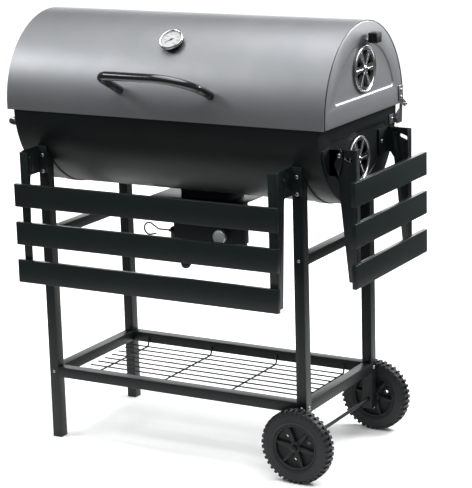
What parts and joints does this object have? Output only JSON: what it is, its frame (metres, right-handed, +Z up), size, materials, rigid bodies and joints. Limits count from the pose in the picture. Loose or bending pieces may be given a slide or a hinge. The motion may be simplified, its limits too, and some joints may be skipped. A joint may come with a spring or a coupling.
{
  "type": "barrel charcoal grill",
  "caption": "Horizontal barrel charcoal grill on a four-legged cart with wheels, a hinged lid, folding front and side slat tables, a wire shelf and an ash drawer.",
  "frame": {"origin": "on the ground, below the centre of the grill's bounding box", "axes": "+X along the barrel towards the wheels and the side table, +Y towards the rear, away from the lid handle, +Z up"},
  "size_m": [0.882, 0.491, 0.95],
  "materials": {
    "lid_enamel": "satin heat-resistant graphite enamel",
    "barrel_enamel": "satin heat-resistant black enamel",
    "frame_paint": "satin black powder coat",
    "table_paint": "satin black powder coat",
    "ash_paint": "satin black powder coat",
    "handle_gloss": "gloss black enamel on tube",
    "bright_chrome": "bright plated",
    "vent_steel": "plated ring, dark inner disc",
    "zinc_plate": "bright zinc plate",
    "handle_steel": "satin black tube",
    "knob_steel": "brushed light grey metal",
    "grate_steel": "plated steel",
    "black_plastic": "ribbed or plain matt black",
    "wheel_plastic": "moulded matt black",
    "tyre_plastic": "moulded matt black with chunky tread"
  },
  "bodies": {
    "frame": {"barrel_shell": "barrel_enamel", "barrel_end_plate_left": "barrel_enamel", "barrel_end_plate_right": "barrel_enamel", "saddle_strap_left": "frame_paint", "saddle_strap_right": "frame_paint", "hinge_lower_left": "zinc_plate", "hinge_lower_right": "zinc_plate", "carry_handle": "handle_steel", "cooking_grate_left": "grate_steel", "cooking_grate_right": "grate_steel", "charcoal_grate": "grate_steel", "leg_front_left": "frame_paint", "leg_front_right": "frame_paint", "leg_rear_left": "frame_paint", "leg_rear_right": "frame_paint", "rail_front": "frame_paint", "rail_rear": "frame_paint", "lower_crossbar_left": "frame_paint", "lower_crossbar_right": "frame_paint", "upper_crossbar_left": "frame_paint", "upper_crossbar_right": "frame_paint", "wire_rack": "frame_paint", "axle": "zinc_plate", "front_bracket_left": "table_paint", "front_bracket_right": "table_paint", "side_bracket_front": "table_paint", "side_bracket_rear": "table_paint", "ash_duct": "ash_paint", "ash_housing": "ash_paint", "latch_knob": "black_plastic", "damper_bracket": "ash_paint"},
    "lid": {"lid_shell": "lid_enamel", "lid_end_plate_left": "lid_enamel", "lid_end_plate_right": "lid_enamel", "lid_handle": "handle_gloss", "thermometer_body": "black_plastic", "thermometer_dial": "bright_chrome", "hinge_upper_left": "zinc_plate", "hinge_upper_right": "zinc_plate"},
    "lid_vent": {"lid_vent_disc": "vent_steel", "lid_vent_grip": "black_plastic"},
    "lower_vent": {"lower_vent_disc": "vent_steel"},
    "front_table": {"front_slat_1": "table_paint", "front_slat_2": "table_paint", "front_slat_3": "table_paint", "front_arm_left": "table_paint", "front_arm_right": "table_paint"},
    "side_table": {"side_slat_1": "table_paint", "side_slat_2": "table_paint", "side_slat_3": "table_paint", "side_arm_front": "table_paint", "side_arm_rear": "table_paint"},
    "wheel_front": {"tyre_front": "tyre_plastic", "hub_front": "wheel_plastic"},
    "wheel_rear": {"tyre_rear": "tyre_plastic", "hub_rear": "wheel_plastic"},
    "ash_drawer_unit": {"ash_drawer": "ash_paint", "ash_knob": "knob_steel"},
    "damper": {"damper_crank": "zinc_plate"}
  },
  "joints": [
    {"name": "lid_hinge", "type": "hinge", "parent": "frame", "child": "lid", "pos_m": [0, 0.224, 0.7465], "axis": [-1, 0, 0], "range_deg": [0, 95]},
    {"name": "lid_vent_turn", "type": "hinge", "parent": "lid", "child": "lid_vent", "pos_m": [0.3876, 0.0305, 0.85], "axis": [1, 0, 0], "range_deg": [-30, 30]},
    {"name": "lower_vent_turn", "type": "hinge", "parent": "frame", "child": "lower_vent", "pos_m": [0.3715, 0.0305, 0.66], "axis": [1, 0, 0], "range_deg": [-30, 30]},
    {"name": "front_table_fold", "type": "hinge", "parent": "frame", "child": "front_table", "pos_m": [0, -0.1915, 0.652], "axis": [-1, 0, 0], "range_deg": [0, 90]},
    {"name": "side_table_fold", "type": "hinge", "parent": "frame", "child": "side_table", "pos_m": [0.395, 0.0305, 0.694], "axis": [0, -1, 0], "range_deg": [0, 90]},
    {"name": "wheel_front_spin", "type": "hinge", "parent": "frame", "child": "wheel_front", "pos_m": [0.3135, -0.159, 0.08], "axis": [0, 1, 0], "continuous": true},
    {"name": "wheel_rear_spin", "type": "hinge", "parent": "frame", "child": "wheel_rear", "pos_m": [0.3135, 0.22, 0.08], "axis": [0, 1, 0], "continuous": true},
    {"name": "ash_drawer_slide", "type": "slide", "parent": "frame", "child": "ash_drawer_unit", "axis": [0, -1, 0], "range_m": [0, 0.08]},
    {"name": "damper_turn", "type": "hinge", "parent": "frame", "child": "damper", "pos_m": [-0.0453, 0.0105, 0.4695], "axis": [1, 0, 0], "range_deg": [0, 90]}
  ]
}
